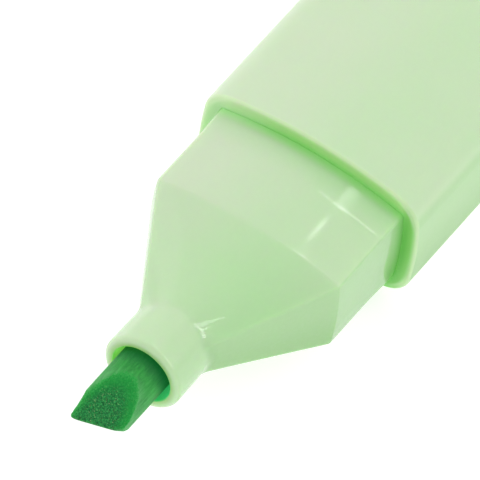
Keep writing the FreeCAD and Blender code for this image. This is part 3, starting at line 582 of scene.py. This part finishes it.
def nib_felt():
    """The fibre rod: streaked skin with a painted highlight beside the cut and painted shadow at the bore's
    mouth, and cut faces of packed fibre ends.

    The cut is dark with brownish grains and painted glints, and a painted glow makes it brighter green
    towards its edges.
    """
    n = Nodes("nib_felt")
    x, y, z = n.pen_xyz()
    y = n.minus(y, NIB_SHIFT)
    radius = n.radius(y, z)
    grit = n.noise(6.0, 3.0, 0.8)
    depth = n.add(n.minus(x, NIB_EDGE), n.times(y, math.tan(NIB_SKEW)))
    rise = n.add(n.times(depth, CUT_RISE), NIB_LAND / 2)
    within = n.add(n.minus(rise, n.absolute(z)), n.ramp(grit, 0.3, 0.7, -0.10, 0.10))
    cut = n.ramp(within, 0.28, 0.02)
    skin = n.minus(1.0, cut)

    fibres = n.noise(2.6, 5.0, 0.75, (0.16, 1.0, 1.0))
    strands = n.noise(6.0, 4.0, 0.7, (0.08, 1.0, 1.0))
    blotch = n.noise(1.1, 6.0, 0.75, (0.6, 1.0, 1.0))
    outer = n.mix(n.ramp(fibres, 0.3, 0.7), FIBRE_DARK, FIBRE_LIGHT)
    outer = n.mix(n.ramp(strands, 0.52, 0.74, 0.0, 0.4), outer, STRAND_PALE)
    outer = n.mix(n.ramp(blotch, 0.45, 0.66, 0.0, 0.6), outer, BLOTCH_DARK)
    # Painted highlight: a pale streak on the skin beside the cut.
    painted_highlight = n.times(n.ramp(x, -28.6, -30.5), n.ramp(within, 1.1, 0.2, 0.25, 0.6))
    painted_highlight = n.times(painted_highlight, n.ramp(fibres, 0.35, 0.6, 0.5, 1.0))
    outer = n.mix(painted_highlight, outer, HIGHLIGHT_PALE)
    # Painted shadow of the collar's lip on the rod where it leaves the bore.
    outer = n.mix(n.ramp(x, -28.7, -26.8, 0.0, 0.8), outer, ROOT_SHADOW)

    first, second, distance = n.cells(12.0)
    cloud = n.noise(0.9, 4.0, 0.6)
    inner = n.mix(n.ramp(grit, 0.36, 0.66), CUT_DARK, CUT_LIGHT)
    inner = n.mix(n.ramp(cloud, 0.4, 0.7, 0.0, 0.5), inner, CUT_CLOUD)
    # Painted glow: brighter green towards the cut's edges.
    inner = n.mix(n.ramp(radius, 1.5, 2.45, 0.0, 0.75), inner, CUT_BORDER_GLOW)
    middle = n.ramp(radius, 2.3, 1.3, 0.3, 1.0)
    for value, low, high, most, grain in (
        (first, 0.80, 0.96, 0.40, GRAIN_GREEN),
        (second, 0.10, 0.03, 0.24, GRAIN_BROWN),
        (second, 0.95, 0.99, 0.50, GRAIN_GLINT),
    ):
        inner = n.mix(n.times(middle, n.ramp(value, low, high, 0.0, most)), inner, grain)

    colour = n.mix(cut, outer, inner)
    # Painted glow where the cut meets the skin.
    edge_glow = n.times(n.times(cut, skin), 1.8, clamp=True)
    colour = n.mix(edge_glow, colour, CUT_EDGE_GLOW)
    bumps = n.bump(n.times(fibres, skin), 0.6, 0.03)
    bumps = n.bump(n.times(strands, skin), 0.5, 0.015, bumps)
    bumps = n.bump(n.times(n.add(grit, distance), cut), 0.6, 0.025, bumps)
    rough = n.add(n.times(cut, 0.2), n.ramp(strands, 0.3, 0.7, 0.45, 0.65))
    return n.finish(
        Base_Color=colour, Roughness=rough, Normal=bumps, Subsurface_Weight=0.25,
        Subsurface_Radius=(0.25, 0.85, 0.3), Subsurface_Scale=MM, Specular_IOR_Level=0.25,
    )


def streaked(name, pattern, dark, light, roughness, bump):
    """A surface with one pattern of streaks in its colour, roughness and height."""
    n = Nodes(name)
    streaks = n.noise(*pattern)
    return n.finish(
        Base_Color=n.mix(n.ramp(streaks, 0.3, 0.7), dark, light),
        Roughness=n.ramp(streaks, 0.3, 0.7, *roughness), Normal=n.bump(streaks, bump, 0.1),
    )


def liner():
    n = Nodes("liner_plastic")
    clouds = n.noise(0.5)
    return n.finish(
        Base_Color=n.mix(n.ramp(clouds, 0.3, 0.7), (0.78, 0.86, 0.76), (0.86, 0.91, 0.84)),
        Roughness=n.ramp(clouds, 0.3, 0.7, 0.32, 0.45), Normal=n.bump(n.noise(2.0), 0.2, 0.02),
        Subsurface_Weight=0.5, Subsurface_Radius=SKIN_RADIUS, Subsurface_Scale=MM,
    )


def floor_material():
    n = Nodes("floor")
    grain = n.noise(0.08, 4.0)
    return n.finish(
        Base_Color=n.mix(n.ramp(grain, 0.3, 0.7), (0.60, 0.60, 0.60), (0.62, 0.62, 0.62)),
        Roughness=0.8, Normal=n.bump(grain, 0.05, 0.2), Emission_Color=(1, 1, 1, 1), Emission_Strength=0.60,
    )


# ---------------------------------------------------------------- dressing the CAD nodes

def dress(node, material):
    """Gives a CAD node its material."""
    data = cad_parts[node].data
    data.materials.clear()
    data.materials.append(material)


BARREL_PLASTIC = plastic("barrel_plastic", 0.38, 0.30, 0.30, barrel_painted_shade, barrel_edge)
NOSE_PLASTIC = plastic("nose_plastic", 0.065, 0.004, 0.04, nose_painted_shade, nose_edge, (0.6, 0.96, 1.0))
CAP_PLASTIC = plastic("cap_plastic", 0.36, 0.30, 0.30, barrel_painted_shade)
WADDING = streaked("inked_wadding", (2.4, 5.0, 0.7, (0.15, 1.0, 1.0)), (0.05, 0.45, 0.06),
                   (0.20, 0.70, 0.16), (0.75, 0.95), 0.8)
FILM = streaked("wrap_film", (0.5, 3.0, 0.5, (0.3, 1.0, 1.0)), (0.45, 0.78, 0.42),
                (0.66, 0.88, 0.62), (0.12, 0.3), 0.4)

dress("barrel", BARREL_PLASTIC)
dress("end_plug", CAP_PLASTIC)
dress("cap_shell", CAP_PLASTIC)
dress("cap_seal_liner", liner())
dress("reservoir_core", WADDING)
dress("reservoir_wrap", FILM)

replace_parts(build_nose(NOSE_PLASTIC), "nose_section")
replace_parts(build_nib(nib_felt()), "chisel_nib")


# ---------------------------------------------------------------- floor, light and camera (metres)

FLOOR_HALF, WORLD_STRENGTH, LIGHT_DISTANCE = 1.6, 0.70, 0.8
TARGET = Vector((-0.04165, 0.00290, 0.00419))

# Lights aim at a place on the pen, in pen millimetres.  Their directions are in the row frame, their
# sizes are in metres, and their powers are in watts.
PEN_MIDDLE = (-6.0, 2.9, -3.4)
SOFT_SIZE = (0.5, 0.5)
SOFT_LIGHTS = (
    ("back", (0.80, 0.0, 0.60), 0.45),
    ("left", (0.0, 0.80, 0.60), 0.90),
    ("back_left", (0.57, 0.57, 0.60), 0.90),
    ("back_right", (0.57, -0.57, 0.60), 1.26),
)
CARDS = (
    ("card_left", (0.10, 0.80, 0.55), (0.4, 0.4), 0.22, (-23.2, 1.4, 3.8)),
    ("card_key_long", (0.506, 0.015, 0.862), (0.25, 0.010), 0.038, (-3.4, -6.2, 5.3)),
    ("card_key_short", (0.501, 0.055, 0.864), (0.05, 0.040), 0.024, (-3.4, -5.2, 5.3)),
    ("card_neck", (0.557, 0.072, 0.827), (0.014, 0.014), 0.0045, (-7.05, -5.1, 5.3)),
    ("card_side", (0.21, -0.58, 0.78), (0.32, 0.22), 0.70, (-21.6, -2.6, 3.1)),
    ("card_side_low", (0.09, -0.81, 0.58), (0.20, 0.32), 1.00, (-21.6, -2.7, 3.1)),
)


def add_floor():
    mesh = bpy.data.meshes.new("floor")
    corners = [(x * FLOOR_HALF, y * FLOOR_HALF, 0.0) for x, y in ((-1, -1), (1, -1), (1, 1), (-1, 1))]
    mesh.from_pydata(corners, [], [(0, 1, 2, 3)])
    mesh.materials.append(floor_material())
    floor = bpy.data.objects.new("floor", mesh)
    bpy.context.scene.collection.objects.link(floor)


def area_light(name, towards, size, power, aim, seen_in_gloss=False):
    """A rectangular area light at LIGHT_DISTANCE from a place on the pen, and facing it.

    A light seen in the pen's gloss is a reflection card, which gives a highlight and lights nothing.
    """
    data = bpy.data.lights.new(name, "AREA")
    data.shape, data.size, data.size_y = "RECTANGLE", *size
    data.energy = power
    light = bpy.data.objects.new(name, data)
    direction = Vector(towards).normalized()
    light.matrix_world = (
        Matrix.Translation(Vector(to_frame(aim)) + direction * LIGHT_DISTANCE)
        @ direction.to_track_quat("Z", "Y").to_matrix().to_4x4()
    )
    light.visible_glossy, light.visible_diffuse = seen_in_gloss, not seen_in_gloss
    bpy.context.scene.collection.objects.link(light)


def add_camera(azimuth, elevation, roll, distance, lens):
    """A long lens aimed at TARGET, from an azimuth and elevation in degrees, leaning by roll."""
    a, e = math.radians(azimuth), math.radians(elevation)
    back = Vector((math.sin(a) * math.cos(e), -math.cos(a) * math.cos(e), math.sin(e)))
    data = bpy.data.cameras.new("camera")
    data.lens, data.sensor_width = lens, 36.0
    data.clip_start, data.clip_end = 0.01, 20.0
    camera = bpy.data.objects.new("camera", data)
    camera.matrix_world = (
        Matrix.Translation(TARGET + back * distance)
        @ (-back).to_track_quat("-Z", "Y").to_matrix().to_4x4()
        @ Matrix.Rotation(math.radians(roll), 4, "Z")
    )
    bpy.context.scene.collection.objects.link(camera)
    bpy.context.scene.camera = camera


def add_world(strength):
    world = bpy.data.worlds.new("studio")
    world.use_nodes = True
    background = world.node_tree.nodes["Background"]
    background.inputs["Color"].default_value = (1, 1, 1, 1)
    background.inputs["Strength"].default_value = strength
    bpy.context.scene.world = world


add_floor()
add_world(WORLD_STRENGTH)
for name, towards, power in SOFT_LIGHTS:
    area_light(name, towards, SOFT_SIZE, power, PEN_MIDDLE)
for card in CARDS:
    area_light(*card, seen_in_gloss=True)
add_camera(azimuth=-63.32, elevation=50.94, roll=9.54, distance=1.012, lens=828.8)
bpy.context.scene.view_settings.view_transform = "Standard"
